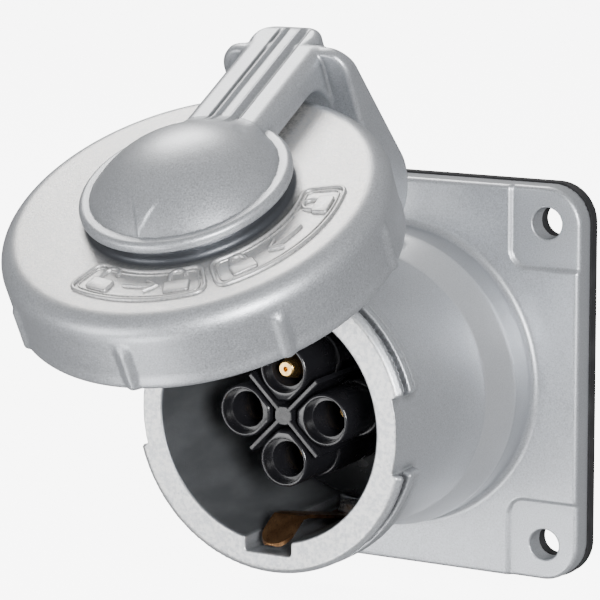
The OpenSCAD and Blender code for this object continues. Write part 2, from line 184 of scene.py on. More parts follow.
def surface_net(field, low, high, step):
    """Mesh of the zero level of a distance field: (points, quads, normals)."""
    block = 4
    low = np.asarray(low, float)
    count = np.ceil((np.asarray(high, float) - low) / (block * step)).astype(int)
    axes = [np.arange(n) for n in count]
    coarse = np.stack(np.meshgrid(*axes, indexing="ij"), -1).reshape(-1, 3)
    middle = low + (coarse + 0.5) * block * step
    coarse = coarse[np.abs(field(middle)) < block * step * 1.2]
    size = count * block + 1
    corner = np.stack(np.meshgrid(*[np.arange(block + 1)] * 3, indexing="ij"), -1).reshape(-1, 3)
    spots = (coarse[:, None, :] * block + corner[None]).reshape(-1, 3)
    flat = np.unique((spots[:, 0] * size[1] + spots[:, 1]) * size[2] + spots[:, 2])
    spots = np.stack(np.unravel_index(flat, size), -1)
    value = np.full(size, np.nan, dtype=np.float32)
    value.ravel()[flat] = field(low + spots * step)
    inner = np.stack(np.meshgrid(*[np.arange(block)] * 3, indexing="ij"), -1).reshape(-1, 3)
    cells = (coarse[:, None, :] * block + inner[None]).reshape(-1, 3)
    offsets = [(i, j, k) for i in (0, 1) for j in (0, 1) for k in (0, 1)]
    corners = np.stack([value[tuple((cells + o).T)] for o in offsets], 1)
    inside = corners < 0
    mixed = inside.any(1) & ~inside.all(1)
    cells, corners = cells[mixed], corners[mixed]
    total = np.zeros((len(cells), 3))
    hits = np.zeros(len(cells))
    for a in range(8):
        for axis, bit in ((0, 4), (1, 2), (2, 1)):
            if a & bit:
                continue
            va, vb = corners[:, a], corners[:, a | bit]
            cross = (va < 0) != (vb < 0)
            t = np.where(cross, va / np.where(cross, va - vb, 1), 0)
            spot = np.tile(np.array(offsets[a], float), (len(cells), 1))
            spot[:, axis] += t
            total += spot * cross[:, None]
            hits += cross
    points = low + (cells + total / hits[:, None]) * step
    for _ in range(2):
        g = gradient(field, points)
        length = np.maximum((g * g).sum(1), 0.2)
        shift = -field(points)[:, None] * g / length[:, None]
        far = np.linalg.norm(shift, axis=1, keepdims=True)
        points = points + shift * np.minimum(1, 0.6 * step / np.maximum(far, 1e-9))
    number = np.full(size, -1, dtype=np.int64)
    number[tuple(cells.T)] = np.arange(len(cells))
    quads = []
    for axis in range(3):
        b, c = (axis + 1) % 3, (axis + 2) % 3
        here = value[tuple(cells.T)]
        ahead = cells.copy()
        ahead[:, axis] += 1
        there = value[tuple(ahead.T)]
        cross = (here < 0) != (there < 0)
        base, sign = cells[cross], here[cross] < 0
        around = []
        for sb, sc in ((0, 0), (-1, 0), (-1, -1), (0, -1)):
            spot = base.copy()
            spot[:, b] += sb
            spot[:, c] += sc
            around.append(number[tuple(spot.T)])
        quad = np.stack(around, 1)
        quad[~sign] = quad[~sign][:, ::-1]
        quads.append(quad[(quad >= 0).all(1)])
    normals = gradient(field, points)
    normals /= np.maximum(np.linalg.norm(normals, axis=1, keepdims=True), 1e-9)
    return points, np.concatenate(quads), normals


# ---- Cover arm ----

def arm_field(p):
    """The arm's casting with the cover shut."""
    x, u, o = p[:, 0], p[:, 1], p[:, 2]
    ax = np.abs(x)
    # Yoke plate with its hinge lobes
    side = taper(o, u, (HINGE_OUT, HINGE_UP), (100.4, 59), 13, 2)
    side = np.maximum(side, -rmax(69.5 - o, u - 57, 4))
    qx, qo = ax - 12, o - 94.7
    plan = np.hypot(np.maximum(qx, 0), np.maximum(qo, 0)) + np.minimum(np.maximum(qx, qo), 0) - 7.7
    yoke = rmax(side, plan, 1.5)
    # Gooseneck: side outline, front outline, and the hollow behind the neck
    top = taper(o, u, (95.4, 65.8), (60, 62), 7, 11)
    ribs = 0.95 * bump((ax - 2.35) / 1.15) - 0.55 * bump((ax - 4.1) / 0.85)
    bar = np.maximum(o - 102.4, u - 65.8)
    ribs = ribs * smooth((o - 88) / 8) * smooth((69.5 - u) / 5)
    profile = np.minimum(top, bar) - ribs
    wide = np.maximum(ax - 12.4, u - 62)
    front = np.minimum(wide, disc(x, u, -1.8, 62, 10.8))
    neck = rmax(profile, front, 3.8 - 1.6 * smooth((u - 58) / 8))
    neck = rmax(neck, -rmax(o - 94.4, u - 57, 10.4), 1.2)
    neck = np.maximum(neck, np.maximum(12 - u, 65 - o))
    hub_room = np.maximum(np.hypot(x, u) - 28.2, o - 96.8)
    neck = np.maximum(neck, -hub_room)
    body = rmin(yoke, neck, 0.8)
    # Domed disc with a low rim, and the pointer on it
    r = np.hypot(x, u)
    rim = rmax(r - DOME_RADIUS, o - 99.5, 1.5)
    rim = rmax(rim, 96.6 - o, 0.6)
    ball = np.sqrt(r * r + (o - 77.8) ** 2) - 33.3
    ball = np.maximum(ball, 97.4 - o)
    edge = (26.0 + u) * 0.53
    pointer = ball - 0.5 * smooth((edge - ax) / 1.2) * smooth((-16 - u) / 5)
    pointer = np.maximum(pointer, np.maximum(u + 15.5, -26.6 - u))
    dome = np.minimum(np.minimum(rim, ball), pointer)
    body = np.minimum(rmin(body, rim, 0.4), rmin(body, dome, 2.6 * smooth((26.5 - r) / 2) + 0.01))
    # Slot for the lug, pin bore and the spring's seat
    slot = np.maximum(ax - 9.7, o - 69.2)
    body = rmax(body, -slot, 0.8)
    body = rmax(body, 3.65 - np.hypot(o - HINGE_OUT, u - HINGE_UP), 0.5)
    return np.maximum(body, -np.maximum(r - 15, o - 98.1))


# ---- Housing ----

def housing_field(p):
    """The flange, barrel, bayonet, hinge lug and boss as one casting."""
    x, u, o = p[:, 0], p[:, 1], p[:, 2]
    ax, au = np.abs(x), np.abs(u)
    r = np.hypot(x, u)
    # Flange with a shallow pad at each corner
    qx, qu = ax - 46.5, au - 46.5
    plan = np.hypot(np.maximum(qx, 0), np.maximum(qu, 0)) + np.minimum(np.maximum(qx, qu), 0) - 11
    pad = rmax(36 - ax, 34 - au, 5)
    front = o - FLANGE_FRONT + smooth(0.5 - pad / 1.6)
    flange = rmax(rmax(plan, front, 1.5), GASKET - o, 0.3)
    # Riser, cone and barrel
    cone = (r - RISER_RADIUS) * 0.946 + (o - 23.0) * 0.324
    riser = rmax(r - RISER_RADIUS, cone, 0.4)
    outer = rmin(riser, r - BARREL_RADIUS, 0.3)
    outer = np.maximum(outer, GASKET + 0.1 - o)
    body = rmin(outer, flange, 2.3)
    # Hinge lug, and the boss under the barrel
    lug = taper(o, u, (HINGE_OUT, HINGE_UP), (26.5, 37), 11, 1.5)
    lug = np.minimum(lug, taper(o, u, (HINGE_OUT, HINGE_UP), (66.2, 37), 11, 2))
    lug = np.minimum(lug, triangle(o, u, ((26.5, 36), (66.2, 36), (HINGE_OUT, HINGE_UP))))
    lug = rmax(lug, ax - 9.2, 1.2)
    body = rmin(body, lug, 2.2)
    boss = rmax(np.hypot(x, o - 40) - 6, -44.8 - u, 0.8)
    boss = np.maximum(boss, u + 33)
    body = rmin(body, boss, 1.5)
    # Bayonet segments: land, groove and ridge, with a gap at each side
    land = np.maximum(rmax(r - LAND_RADIUS, 85.9 - o, 0.4), (r + o - 129.7) * 0.707)
    ridge = rmax(rmax(r - 42.8 + 0.35 * bump((o - 79.8) / 0.6), o - 82.5, 0.5), 76.2 - o, 0.8)
    groove = np.maximum(r - 40.6, np.maximum(o - 87, 81 - o))
    segment = np.minimum(np.minimum(land, ridge), groove)
    notch = ax * math.sin(math.radians(15)) - au * math.cos(math.radians(15))
    segment = rmax(segment, notch, 0.9)
    body = rmin(body, segment, 0.3)
    body = rmax(body, o - MOUTH, 0.35)
    # Keyway, bore, room behind the flange and bolt holes
    key = rmax(ax - 7.2, -37.0 - u, 0.8)
    key = np.maximum(np.maximum(key, u + 20), 34 - o)
    body = rmax(body, BORE_RADIUS - r, 0.7)
    body = rmax(body, -key, 0.5)
    body = np.maximum(body, -np.maximum(r - 39, o - 20))
    hole = np.hypot(ax - BOLT_PLACE, au - BOLT_PLACE) - BOLT_RADIUS
    return rmax(body, -hole, 0.6)


# ---- Meshes by loft and lathe ----

def lathe(profile, steps, shape):
    """Points and quads of a closed profile [(r, o)] turned about the axis; shape moves the points."""
    prof = np.asarray(profile, float)
    angle = np.arange(steps) * 2 * math.pi / steps
    r = prof[:, 0][:, None] + 0 * angle[None]
    o = prof[:, 1][:, None] + 0 * angle[None]
    phi = angle[None] + 0 * r
    r, o = shape(r, o, phi)
    points = np.stack([r * np.cos(phi), r * np.sin(phi), o], -1).reshape(-1, 3)
    i = np.arange(len(prof))[:, None]
    j = np.arange(steps)[None]
    ni, nj = (i + 1) % len(prof), (j + 1) % steps
    quads = np.stack([i * steps + j, ni * steps + j, ni * steps + nj, i * steps + nj], -1)
    return points, quads.reshape(-1, 4)


def arc(ca, cb, r, start, end, n):
    """Points on an arc, angles in degrees."""
    t = np.radians(np.linspace(start, end, n + 1))
    return list(zip(ca + r * np.cos(t), cb + r * np.sin(t)))


def line(a, b, n):
    """Points between two ends, without the ends."""
    return [(a[0] + (b[0] - a[0]) * i / n, a[1] + (b[1] - a[1]) * i / n) for i in range(1, n)]


def cap_shell():
    """Outside and inside of the cap, with soft grip ribs round the skirt."""
    face, edge = CAP_FACE, CAP_EDGE
    hub_top = face + HUB_HEIGHT
    outer = [(5.05, 90.4), (5.05, hub_top), (15, hub_top), (25.6, hub_top)]
    outer += arc(26.0, hub_top - 0.8, 0.8, 90, 0, 4)
    outer += arc(28.7, face + 1.9, 1.9, 180, 270, 6)
    outer += line((28.7, face), (46.6, face), 22)
    outer += arc(46.6, face - 5.65, 5.65, 90, 0, 14)
    outer += line((CAP_RADIUS, face - 5.65), (CAP_RADIUS, edge + 0.9), 14)
    outer += arc(51.35, edge + 0.9, 0.9, 0, -90, 4)
    outer += arc(46.6, edge + 0.6, 0.6, -90, -180, 3)
    outer += line((46, edge + 0.6), (45.6, 88.4), 8)
    outer += arc(43.6, 88.4, 2, 0, 90, 5)
    steps = 560

    def ribbed(r, o, phi):
        pitch = math.radians(45)
        off = (phi - math.radians(-84) + pitch / 2) % pitch - pitch / 2
        across = off * 52
        outside = smooth((r - 48.6) / 2.6)
        rise = smooth((o - edge + 1.0) / 1.0) * smooth((face - 6.2 - o) / 2.4)
        shape = 1.2 * bump(across / 2.7) * outside * rise
        lip = 0.3 * smooth((edge + 3.2 - o) / 0.9) * outside
        return r + np.maximum(shape, lip), o

    return lathe(outer, steps, ribbed)


def ring_block(inner, outer, low, high, start, end, bevel=0.5, steps=10):
    """A bevelled piece of a ring, for a bayonet lug."""
    prof = [(inner, low + bevel), (inner + bevel, low), (outer, low), (outer, high),
            (inner + bevel, high), (inner, high - bevel)]
    points, faces = [], []
    for i in range(steps + 1):
        t = math.radians(start + (end - start) * i / steps)
        points += [(r * math.cos(t), r * math.sin(t), o) for r, o in prof]
    k = len(prof)
    for i in range(steps):
        for j in range(k):
            a, b = i * k + j, i * k + (j + 1) % k
            faces.append((a, b, b + k, a + k))
    faces.append(tuple(range(k - 1, -1, -1)))
    faces.append(tuple(steps * k + j for j in range(k)))
    return points, faces


def bead(path, width, height, base, closed=True):
    """A raised rounded line along a path [(x, u)] on a flat face at base."""
    pts = np.asarray(path, float)
    n = len(pts)
    if closed:
        tangent = np.roll(pts, -1, 0) - np.roll(pts, 1, 0)
    else:
        tangent = np.gradient(pts, axis=0)
    tangent /= np.maximum(np.linalg.norm(tangent, axis=1, keepdims=True), 1e-9)
    side = np.stack([tangent[:, 1], -tangent[:, 0]], 1)
    shape = [(-0.5, -0.6), (-0.42, 0.55), (-0.22, 0.95), (0.22, 0.95), (0.42, 0.55), (0.5, -0.6)]
    points = []
    for off, up in shape:
        spots = pts + side * off * width
        points.append(np.column_stack([spots, np.full(n, base + up * height)]))
    points = np.stack(points, 1).reshape(-1, 3)
    k = len(shape)
    faces = []
    for i in range(n if closed else n - 1):
        ni = (i + 1) % n
        for j in range(k):
            nj = (j + 1) % k
            faces.append((i * k + j, ni * k + j, ni * k + nj, i * k + nj))
    if not closed:
        faces.append(tuple(range(k)))
        faces.append(tuple((n - 1) * k + j for j in range(k - 1, -1, -1)))
    return points, faces


def gather(parts):
    """Joins several (points, faces) into one."""
    points, faces, count = [], [], 0
    for p, f in parts:
        points.append(np.asarray(p, float).reshape(-1, 3))
        faces += [tuple(int(i) + count for i in face) for face in f]
        count += len(points[-1])
    return np.concatenate(points), faces


def band_outline(inner, outer, middle, span, corner):
    """Closed path round a curved label panel, angles in degrees."""
    path = []
    half = span / 2
    for r, sign, turn in ((outer, -1, 0), (outer, 1, 1), (inner, 1, 2), (inner, -1, 3)):
        toward = -1 if r == outer else 1
        centre_r = r + toward * corner
        shift = math.degrees(corner / centre_r)
        t = math.radians(middle + sign * (half - shift))
        cx, cy = centre_r * math.cos(t), centre_r * math.sin(t)
        base = math.degrees(t)
        sweep = {0: (-90, 0), 1: (0, 90), 2: (90, 180), 3: (180, 270)}[turn]
        path += arc(cx, cy, corner, base + sweep[0], base + sweep[1], 5)
        if turn in (0, 2):
            stop = math.radians(middle - sign * (half - shift))
            for i in range(1, 28):
                a = t + (stop - t) * i / 28
                path.append((r * math.cos(a), r * math.sin(a)))
    return path


def raised(outline, height, base, inset=0.45):
    """A low block with bevelled edges standing on a flat face."""
    edge = np.asarray(outline, float)
    centre = edge.mean(0)
    span = np.linalg.norm(edge - centre, axis=1, keepdims=True)
    levels = ((0, -0.4), (0, height - 0.25), (0.4 * inset, height - 0.06), (inset, height))
    points = []
    for cut, up in levels:
        spots = centre + (edge - centre) * (1 - cut / span)
        points.append(np.column_stack([spots, np.full(len(edge), base + up)]))
    n, faces = len(edge), []
    for i in range(len(levels) - 1):
        for j in range(n):
            nj = (j + 1) % n
            faces.append((i * n + j, i * n + nj, (i + 1) * n + nj, (i + 1) * n + j))
    faces.append(tuple((len(levels) - 1) * n + j for j in range(n)))
    faces.append(tuple(range(n - 1, -1, -1)))
    return np.concatenate(points), faces


def padlock(middle, r, opened):
    """Body and shackle of a padlock sign, standing on the cap at an angle in degrees."""
    a = math.radians(middle)
    out = np.array([math.cos(a), math.sin(a)])
    right = np.array([-math.sin(a), math.cos(a)])
    centre = out * r

    def at(path):
        return [tuple(centre + right * p[0] + out * p[1]) for p in path]

    body = []
    for cx, cy, start in ((2.6, 3.5, 0), (-2.6, 3.5, 90), (-2.6, 0.6, 180), (2.6, 0.6, 270)):
        body += arc(cx, cy, 0.8, start, start + 90, 4)
    lift = -1.3 if opened else 0.0
    shackle = [(-2.1, 0.2), (-2.1, -1.3 + lift)] + arc(0, -1.3 + lift, 2.1, 180, 360, 12)
    shackle += [(2.1, -1.0 + lift if opened else 0.2)]
    return at(body), at(shackle)


def turn_arrow(middle, r, span, sign):
    """Curved arrow along the panel; sign is the way it points."""
    shaft = []
    for i in range(17):
        t = math.radians(middle - sign * span / 2 + sign * span * i / 16)
        shaft.append((r * math.cos(t), r * math.sin(t)))
    tip = math.radians(middle + sign * (span / 2 + 1.2))
    head = []
    for dr in (-2.0, 0, 2.0):
        back = math.radians(middle + sign * (span / 2 - (3.4 if dr else -1.2)))
        t = tip if dr == 0 else back
        head.append(((r + dr) * math.cos(t), (r + dr) * math.sin(t)))
    dense = []
    for i in range(2):
        a, b = head[i], head[i + 1]
        dense += [(a[0] + (b[0] - a[0]) * k / 5, a[1] + (b[1] - a[1]) * k / 5) for k in range(5)]
    dense.append(head[2])
    return shaft, dense


def cap_labels():
    """Two framed panels with signs for opening and closing."""
    base = CAP_FACE
    parts = []
    for middle, span, opened in ((-84, 55, True), (-18, 69, False)):
        parts.append(bead(band_outline(30.4, 41.8, middle, span, 2.6), 1.2, 0.7, base))
        parts.append(bead(band_outline(31.7, 40.5, middle, span - 4.0, 1.8), 0.6, 0.35, base))
        spots = (-0.3, 0.3) if opened else (-0.33, 0.33)
        for k in spots:
            body, shackle = padlock(middle + k * span, 35.6, opened)
            parts.append(raised(body, 0.8, base))
            parts.append(bead(shackle, 1.2, 0.8, base, closed=False))
        shaft, head = turn_arrow(middle, 36.2, 0.24 * span, 1 if opened else -1)
        parts.append(bead(shaft, 1.4, 0.8, base, closed=False))
        parts.append(bead(head, 1.3, 0.8, base, closed=False))
    return gather(parts)


def tube_rings(cx, cu, turn):
    """One contact tube: blunt outside, round mouth and bore, lofted ring by ring."""
    steps = 72
    t = np.radians(np.arange(steps) * 360 / steps)

    def outline(radius):
        blunt, corner = radius * 1.16, radius * (math.sqrt(2) - 1.16)
        a = (np.degrees(t) + 180) % 360 - 180
        pts = np.stack([radius * np.cos(t), radius * np.sin(t)], 1)
        for i, angle in enumerate(a):
            if abs(angle) > 135:
                c, s = math.cos(t[i]), math.sin(t[i])
                reach = min(blunt / abs(c), radius * math.sqrt(2) / (abs(c) + abs(s)))
                pts[i] = reach * c, reach * s
        return pts

    def circle(radius):
        return np.stack([radius * np.cos(t), radius * np.sin(t)], 1)

    front = TUBE_FRONT
    rings = [(circle(8.1), 34), (circle(8.1), 61.6), (circle(7.7), 62)]
    rings = [(np.where(np.linalg.norm(c, axis=1, keepdims=True) > np.linalg.norm(
        outline(7.4), axis=1, keepdims=True), c, outline(7.4)), o) for c, o in rings]
    rings += [(outline(7.4), 62.05), (outline(7.4), front - 0.9)]
    for k in (30, 60, 90):
        a = math.radians(k)
        rings.append((outline(7.4 - 0.7 * (1 - math.cos(a))), front - 0.9 + 0.9 * math.sin(a)))
    rings += [(circle(6.5), front - 0.05), (circle(6.3), front - 0.3), (circle(6.3), front - 3)]
    rings += [(circle(5.1), front - 3), (circle(4.9), front - 3.3), (circle(4.9), 30)]
    points = []
    c, s = math.cos(math.radians(turn)), math.sin(math.radians(turn))
    for pts, o in rings:
        x = cx + pts[:, 0] * c - pts[:, 1] * s
        u = cu + pts[:, 0] * s + pts[:, 1] * c
        points.append(np.column_stack([x, u, np.full(steps, o)]))
    points = np.concatenate(points)
    faces = []
    for i in range(len(rings) - 1):
        for j in range(steps):
            nj = (j + 1) % steps
            faces.append((i * steps + j, i * steps + nj, (i + 1) * steps + nj, (i + 1) * steps + j))
    last = len(rings) - 1
    for j in range(steps):
        nj = (j + 1) % steps
        faces.append((last * steps + j, last * steps + nj, nj, j))
    return points, faces


def web_prism():
    """Crossed webs and eight-sided core with a soft front edge."""
    outline = []
    for k in range(4):
        a = math.radians(45 + 90 * k)
        c, s = math.cos(a), math.sin(a)
        for px, py in ((2.7, -0.7), (15, -0.7), (15, 0.7), (2.7, 0.7)):
            outline.append((px * c - py * s, px * s + py * c))
        for extra in (22.5, 67.5):
            b = a + math.radians(extra)
            outline.append((2.92 * math.cos(b), 2.92 * math.sin(b)))
    outline = np.asarray(outline)
    n = len(outline)
    ahead = np.roll(outline, -1, 0) - outline
    normal = np.stack([ahead[:, 1], -ahead[:, 0]], 1)
    normal /= np.linalg.norm(normal, axis=1, keepdims=True)
    both = normal + np.roll(normal, 1, 0)
    both /= np.maximum((both * normal).sum(1, keepdims=True), 0.3)
    front = TUBE_FRONT
    levels = [(0, 34), (0, front - 0.4), (0.1, front - 0.15), (0.3, front)]
    points = [np.column_stack([outline - both * cut, np.full(n, o)]) for cut, o in levels]
    points = np.concatenate(points)
    faces = []
    for i in range(len(levels) - 1):
        for j in range(n):
            nj = (j + 1) % n
            faces.append((i * n + j, i * n + nj, (i + 1) * n + nj, (i + 1) * n + j))
    top = (len(levels) - 1) * n
    faces.append(tuple(top + j for j in range(n)))
    faces.append(tuple(range(n - 1, -1, -1)))
    return points, faces


# ---- Materials ----

class Shader:
    """A Principled material with the few node recipes that the parts share."""

    def __init__(self, name, color, roughness, metallic=0.0, **sockets):
        self.material = bpy.data.materials.new(name)
        self.material.use_nodes = True
        tree = self.material.node_tree
        self.nodes, self.links = tree.nodes, tree.links
        self.main = self.nodes["Principled BSDF"]
        self.main.inputs["Base Color"].default_value = (*color, 1)
        self.main.inputs["Roughness"].default_value = roughness
        self.main.inputs["Metallic"].default_value = metallic
        for key, value in sockets.items():
            self.main.inputs[key.replace("_", " ")].default_value = value
        self.place = self.nodes.new("ShaderNodeTexCoord").outputs["Object"]
        self.color = None
        self.height = None
        self.base = color

    def noise(self, size, detail=4, stretch=None):
        """Noise whose blobs are about size mm across."""
        node = self.nodes.new("ShaderNodeTexNoise")
        node.inputs["Scale"].default_value = 1 / (size * MM)
        node.inputs["Detail"].default_value = detail
        place = self.place
        if stretch:
            mapping = self.nodes.new("ShaderNodeMapping")
            mapping.inputs["Scale"].default_value = stretch
            self.links.new(place, mapping.inputs["Vector"])
            place = mapping.outputs["Vector"]
        self.links.new(place, node.inputs["Vector"])
        return node.outputs["Fac"]

    def math(self, kind, *values):
        """A Math node; each value is a number or another node's output."""
        node = self.nodes.new("ShaderNodeMath")
        node.operation = kind
        for i, value in enumerate(values):
            if isinstance(value, (int, float)):
                node.inputs[i].default_value = value
            else:
                self.links.new(value, node.inputs[i])
        return node.outputs[0]

    def both(self, a, b):
        return self.math("MULTIPLY", a, b)

    def ranged(self, value, low, high, to_low=0.0, to_high=1.0):
        """Maps low..high to to_low..to_high, clamped; low may be above high."""
        node = self.nodes.new("ShaderNodeMapRange")
        node.inputs["From Min"].default_value = low
        node.inputs["From Max"].default_value = high
        node.inputs["To Min"].default_value = to_low
        node.inputs["To Max"].default_value = to_high
        self.links.new(value, node.inputs["Value"])
        return node.outputs["Result"]

    def reach(self, value, start, full, amount=1.0):
        """0 at start and amount at full, for a length in mm."""
        return self.ranged(value, start * MM, full * MM, 0, amount)

    def band(self, value, start, full, fade, end):
        """1 from full to fade and 0 beyond start and end, all in mm."""
        return self.both(self.reach(value, end, fade), self.reach(value, start, full))

    def tint(self, mask, color):
        """Mixes a colour in where the mask is 1."""
        node = self.nodes.new("ShaderNodeMix")
        node.data_type = "RGBA"
        if self.color is None:
            node.inputs[6].default_value = (*self.base, 1)
        else:
            self.links.new(self.color, node.inputs[6])
        node.inputs[7].default_value = (*color, 1)
        self.links.new(mask, node.inputs[0])
        self.color = node.outputs[2]
        self.links.new(self.color, self.main.inputs["Base Color"])

    def rough(self, value, low, high):
        """Lets a noise vary the roughness from low to high."""
        self.links.new(self.ranged(value, 0.3, 0.7, low, high), self.main.inputs["Roughness"])

    def relief(self, height, depth, strength=1.0):
        """Bump of a depth in mm, on top of any before it."""
        node = self.nodes.new("ShaderNodeBump")
        node.inputs["Distance"].default_value = depth * MM
        node.inputs["Strength"].default_value = strength
        self.links.new(height, node.inputs["Height"])
        if self.height is not None:
            self.links.new(self.height, node.inputs["Normal"])
        self.height = node.outputs["Normal"]
        self.links.new(self.height, self.main.inputs["Normal"])

    def radius(self):
        """Distance from the plug axis and distance from the wall, both in metres."""
        split = self.nodes.new("ShaderNodeSeparateXYZ")
        self.links.new(self.place, split.inputs[0])
        x, y, z = split.outputs
        square = self.math("ADD", self.both(x, x), self.both(z, z))
        return self.math("SQRT", square), self.math("MULTIPLY", y, -1.0)


def cast_aluminium(name, color=(0.50, 0.52, 0.55), sheen=0.75):
    """Lacquered casting: fine orange-peel grain, faint mottling, and painted shade in crevices."""
    s = Shader(name, color, 0.42, sheen, Coat_Weight=0.1, Coat_Roughness=0.25)
    cloud = s.noise(14, 3)
    grain = s.noise(0.42, 2)
    s.tint(s.ranged(cloud, 0.38, 0.68, 0, 0.4), tuple(c * 0.86 for c in color))
    s.tint(s.ranged(grain, 0.52, 0.74, 0, 0.7), tuple(min(c * 1.3, 1) for c in color))
    s.tint(s.ranged(grain, 0.48, 0.28, 0, 0.7), tuple(c * 0.66 for c in color))
    # Painted shade: the colour darkens where other surfaces close in, in crevices and under edges.
    crevice_shade = s.nodes.new("ShaderNodeAmbientOcclusion")
    crevice_shade.samples = 6
    crevice_shade.inputs["Distance"].default_value = 2.8 * MM
    s.tint(s.ranged(crevice_shade.outputs["AO"], 0.97, 0.5, 0, 0.9), tuple(c * 0.28 for c in color))
    s.rough(grain, 0.34, 0.48)
    s.relief(cloud, 0.06)
    s.relief(grain, 0.045, 0.8)
    return s


def cap_metal():
    """A painted highlight makes the cap's flat face paler than its skirt; a painted shadow darkens
    the recess under the dome.
    """
    s = cast_aluminium("cast_cap")
    shut = s.nodes.new("ShaderNodeVectorRotate")
    shut.rotation_type = "X_AXIS"
    shut.inputs["Center"].default_value = (0, -HINGE_OUT * MM, HINGE_UP * MM)
    shut.inputs["Angle"].default_value = OPEN_ANGLE
    s.links.new(s.place, shut.inputs["Vector"])
    s.place = shut.outputs["Vector"]
    r, out = s.radius()
    grain = s.noise(0.8, 6)
    # Painted highlight: the flat face, lit from above, is tinted paler and warmer than the skirt.
    face = s.both(s.reach(out, CAP_FACE - 0.7, CAP_FACE - 0.2), s.reach(r, 48.5, 46.5))
    s.tint(s.both(face, s.ranged(grain, 0.35, 0.6, 0.35, 1)), (0.60, 0.595, 0.59))
    # Painted shadow: the recess under the dome's rim is tinted almost black.
    dome_shadow = s.both(s.reach(r, 30.0, 27.8), s.reach(out, CAP_FACE - 1.0, CAP_FACE - 0.3))
    s.tint(dome_shadow, (0.07, 0.075, 0.085))
    return s.material


def housing_metal():
    """Bare grainy mouth, a bore darkened by its own dull tone and by painted shade, a painted
    highlight on the cone, and painted shade on the riser's side and in the bayonet groove.
    """
    s = cast_aluminium("cast_housing", (0.52, 0.54, 0.57), 0.72)
    r, out = s.radius()
    fleck = s.noise(1.1, 8)
    mouth = s.both(s.reach(out, MOUTH - 0.5, MOUTH - 0.1),
                   s.reach(r, BORE_RADIUS, BORE_RADIUS + 0.3))
    s.tint(s.both(mouth, s.ranged(fleck, 0.40, 0.58, 0.25, 1)), (0.76, 0.76, 0.755))
    # Darker bore: partly the wall's own dull tone, partly painted shade inside the barrel.
    bore = s.both(s.reach(r, BORE_RADIUS + 0.6, BORE_RADIUS + 0.2), s.reach(out, 18, 21))
    smear = s.noise(7, 5, (1, 0.35, 1))
    s.tint(s.both(bore, s.ranged(smear, 0.40, 0.65, 0.95, 0.75)), (0.20, 0.21, 0.225))
    # Painted highlight: the cone is tinted paler, as if lit from the front.
    cone = s.band(out, 22.4, 23.2, 34.3, 35.0)
    s.tint(s.both(cone, s.reach(r, BARREL_RADIUS - 0.6, BARREL_RADIUS - 0.1, 0.5)),
           (0.72, 0.74, 0.77))
    # Painted shade: the riser's side is tinted darker.
    side = s.band(out, 12.8, 14.0, 22.4, 23.2)
    s.tint(s.both(side, s.reach(r, RISER_RADIUS - 0.9, RISER_RADIUS - 0.4, 0.45)),
           (0.30, 0.31, 0.33))
    # Painted shade: the bayonet groove is tinted almost black.
    groove = s.both(s.band(r, 40.1, 40.4, 41.6, 42.7), s.band(out, 82.2, 82.6, 85.8, 86.2))
    s.tint(s.both(groove, s.ranged(fleck, 0.3, 0.6, 0.4, 0.9)), (0.06, 0.06, 0.065))
    return s.material


def rubber():
    """Matt black rubber with a little dust."""
    s = Shader("gasket_rubber_matt", (0.018, 0.018, 0.02), 0.75, 0, Specular_IOR_Level=0.35)
    grain = s.noise(0.4, 4)
    dust = s.noise(9, 5)
    s.tint(s.ranged(dust, 0.5, 0.8, 0, 0.5), (0.06, 0.06, 0.063))
    s.rough(dust, 0.68, 0.85)
    s.relief(grain, 0.04)
    return s.material


def black_plastic():
    """Glossy black moulding."""
    s = Shader("black_glossy_moulding", (0.010, 0.010, 0.012), 0.28, 0, Specular_IOR_Level=0.6)
    smear = s.noise(4, 4)
    s.tint(s.ranged(smear, 0.5, 0.8, 0, 0.5), (0.016, 0.016, 0.018))
    s.rough(smear, 0.16, 0.30)
    s.relief(s.noise(1.4, 3), 0.02)
    return s.material


def turned_brass():
    """Brass with fine turning lines."""
    color, roughness = (0.78, 0.52, 0.20), 0.28
    s = Shader("turned_brass", color, roughness, 1.0)
    s.tint(s.ranged(s.noise(3, 5), 0.45, 0.75, 0, 0.6), tuple(c * 0.6 for c in color))
    lines = s.noise(0.5, 2, (0.3, 3.0, 0.3))
    s.rough(lines, roughness * 0.75, roughness * 1.4)
    s.relief(lines, 0.012)
    return s.material


def rolled_bronze():
    """Brown spring bronze with rolling lines."""
    s = Shader("dark_bronze_strip", (0.17, 0.085, 0.038), 0.33, 0.9)
    s.tint(s.ranged(s.noise(5, 5), 0.4, 0.7, 0, 0.8), (0.34, 0.19, 0.09))
    lines = s.noise(0.4, 3, (4.0, 0.25, 0.6))
    s.rough(lines, 0.22, 0.45)
    s.relief(lines, 0.01)
    return s.material


def plated_steel():
    """Bright plated steel, faintly clouded."""
    s = Shader("zinc_plated_steel", (0.62, 0.62, 0.61), 0.3, 1.0)
    s.tint(s.ranged(s.noise(2.5, 5), 0.42, 0.7, 0, 0.6), (0.42, 0.42, 0.43))
    s.rough(s.noise(0.8, 3), 0.22, 0.42)
    s.relief(s.noise(0.5, 3), 0.012)
    return s.material


def floor_material():
    """Pale glowing paper for the floor and the backdrop."""
    s = Shader("pale_floor", (0.9, 0.9, 0.9), 0.7, 0, Emission_Strength=7.0)
    s.main.inputs["Emission Color"].default_value = (1, 1, 1, 1)
    s.tint(s.ranged(s.noise(120, 2), 0.3, 0.7, 0, 0.3), (0.93, 0.93, 0.93))
    return s.material


def paint(obj, material):
    obj.data.materials.clear()
    obj.data.materials.append(material)


# ---- The object ----

def piece(name, body, slot, material, nodes, points, faces, swung=False, normals=None):
    """A visible piece that rides on a body and stands in for the CAD nodes it replaces."""
    obj = mesh_object(name, points, faces, swung, normals)
    paint(obj, material)
    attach(obj, body)
    if nodes:
        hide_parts(*nodes)
    return obj


